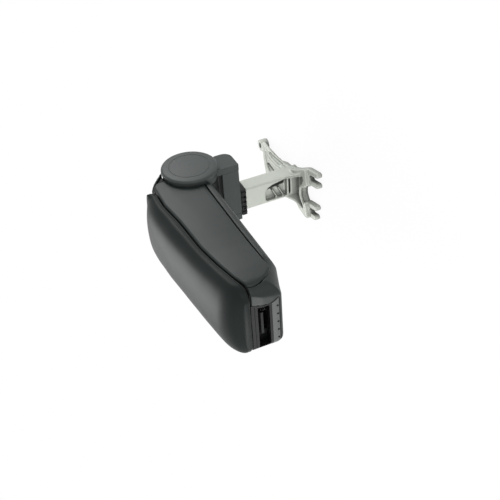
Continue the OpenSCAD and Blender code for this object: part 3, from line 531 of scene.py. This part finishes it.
class ARMREST_OT_stage(bpy.types.Operator):
    """Sets the floor, the lights and the camera"""
    bl_idname = "armrest.stage"
    bl_label = "Set the stage"

    def execute(self, context):
        scene = context.scene
        scene.view_settings.view_transform = "Standard"
        half = scene.armrest.floor_size / 2
        corners = [(x * half, y * half, FLOOR_Z) for x, y in ((-1, -1), (1, -1), (1, 1), (-1, 1))]
        floor = mesh_object("floor", corners, np.array([[0, 1, 2, 3]]))
        floor.data.materials.append(floor_material())
        world_light(scene)
        for name, place, aim, width, power in LAMPS:
            lamp = bpy.data.lights.new(name, "AREA")
            lamp.energy, lamp.size = power, width
            obj = bpy.data.objects.new(name, lamp)
            back = np.array(place) - aim
            back /= np.linalg.norm(back)
            side = np.cross([0.1, 0.2, 1.0], back)
            side /= np.linalg.norm(side)
            obj.matrix_world = pose_matrix(side, np.cross(back, side), back, place)
            scene.collection.objects.link(obj)
        camera = bpy.data.cameras.new("camera")
        camera.lens = CAMERA_LENS
        camera.sensor_width = CAMERA_SENSOR
        obj = bpy.data.objects.new("camera", camera)
        obj.matrix_world = pose_matrix(*CAMERA_AXES, CAMERA_PLACE)
        scene.collection.objects.link(obj)
        scene.camera = obj
        return {"FINISHED"}


# Height of the floor, just under the bracket's feet
FLOOR_Z = -0.001
# Right, up and back of the camera and its place, measured on the photo, with its lens and sensor in mm
CAMERA_AXES = ((0.41355, -0.05714, -0.90869), (-0.5476, 0.78173, -0.29838), (0.7274, 0.62099, 0.29199))
CAMERA_PLACE = (1.07264, 0.72641, 0.47076)
CAMERA_LENS = 65.68
CAMERA_SENSOR = 36.0
# Area lamps: name, place, the point they aim at, width and power
LAMPS = [
    ("back", (-0.75, -0.75, 1.35), (0.25, 0, 0.2), 0.9, 10.5),
    ("far", (-0.5, 0.62, 0.06), (0.1, 0, 0.18), 0.3, 1.7),
    ("front", (1.4, 1.0, 0.12), (0.2, 0, 0.1), 0.8, 4.0),
    ("right", (0.95, -0.55, 0.2), (0.25, 0, 0.15), 0.36, 2.6),
]


def pose_matrix(right, up, back, place):
    """A world matrix with the given axes and place."""
    m = Matrix.Identity(4)
    for i, axis in enumerate((right, up, back, place)):
        for k in range(3):
            m[k][i] = axis[k]
    return m


def floor_material():
    """A white painted floor that keeps a weak shadow near the object and is plain white farther out."""
    m, t, out = new_material("floor")
    place = add(t, "ShaderNodeTexCoord").outputs["Object"]
    far = add(t, "ShaderNodeVectorMath", {0: place}, operation="LENGTH")
    white = add(t, "ShaderNodeMapRange", {"Value": far.outputs["Value"], "From Min": 0.35, "From Max": 0.9,
                                          "To Min": 0.93, "To Max": 1.0})
    lit = add(t, "ShaderNodeBsdfDiffuse", {"Color": (0.9, 0.9, 0.9, 1.0)})
    glow = add(t, "ShaderNodeEmission", {"Color": (1.0, 1.0, 1.0, 1.0), "Strength": 1.0})
    ray = add(t, "ShaderNodeLightPath")
    seen = add(t, "ShaderNodeMath", {0: ray.outputs["Is Camera Ray"], 1: white.outputs[0]},
               operation="MULTIPLY")
    mix = add(t, "ShaderNodeMixShader", {0: seen.outputs[0], 1: lit.outputs[0], 2: glow.outputs[0]})
    t.links.new(mix.outputs[0], out.inputs[0])
    return m


def world_light(scene):
    """A plain white surround, which is also the soft light."""
    world = bpy.data.worlds.new("studio")
    world.use_nodes = True
    t = world.node_tree
    t.nodes.clear()
    sky = add(t, "ShaderNodeBackground", {"Color": (1.0, 1.0, 1.0, 1.0), "Strength": 1.0})
    add(t, "ShaderNodeOutputWorld", {0: sky.outputs[0]})
    scene.world = world


class ARMREST_PT_panel(bpy.types.Panel):
    bl_idname = "ARMREST_PT_panel"
    bl_label = "Centre armrest"
    bl_space_type = "VIEW_3D"
    bl_region_type = "UI"
    bl_category = "Armrest"

    def draw(self, context):
        for prop in ("crown", "panel_crown", "floor_size"):
            self.layout.prop(context.scene.armrest, prop)
        for op in OPERATORS:
            self.layout.operator(op.bl_idname)


OPERATORS = (ARMREST_OT_finishes, ARMREST_OT_lid, ARMREST_OT_panels, ARMREST_OT_skins, ARMREST_OT_stage)
CLASSES = (ArmrestSettings,) + OPERATORS + (ARMREST_PT_panel,)


def register():
    for c in CLASSES:
        bpy.utils.register_class(c)
    bpy.types.Scene.armrest = bpy.props.PointerProperty(type=ArmrestSettings)


def unregister():
    del bpy.types.Scene.armrest
    for c in reversed(CLASSES):
        bpy.utils.unregister_class(c)


def main():
    """Builds the looks through the add-on's operators."""
    register()
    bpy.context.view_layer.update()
    bpy.ops.armrest.finishes()
    bpy.ops.armrest.lid()
    bpy.ops.armrest.panels()
    bpy.ops.armrest.skins()
    bpy.ops.armrest.stage()


if __name__ == "__main__":
    main()
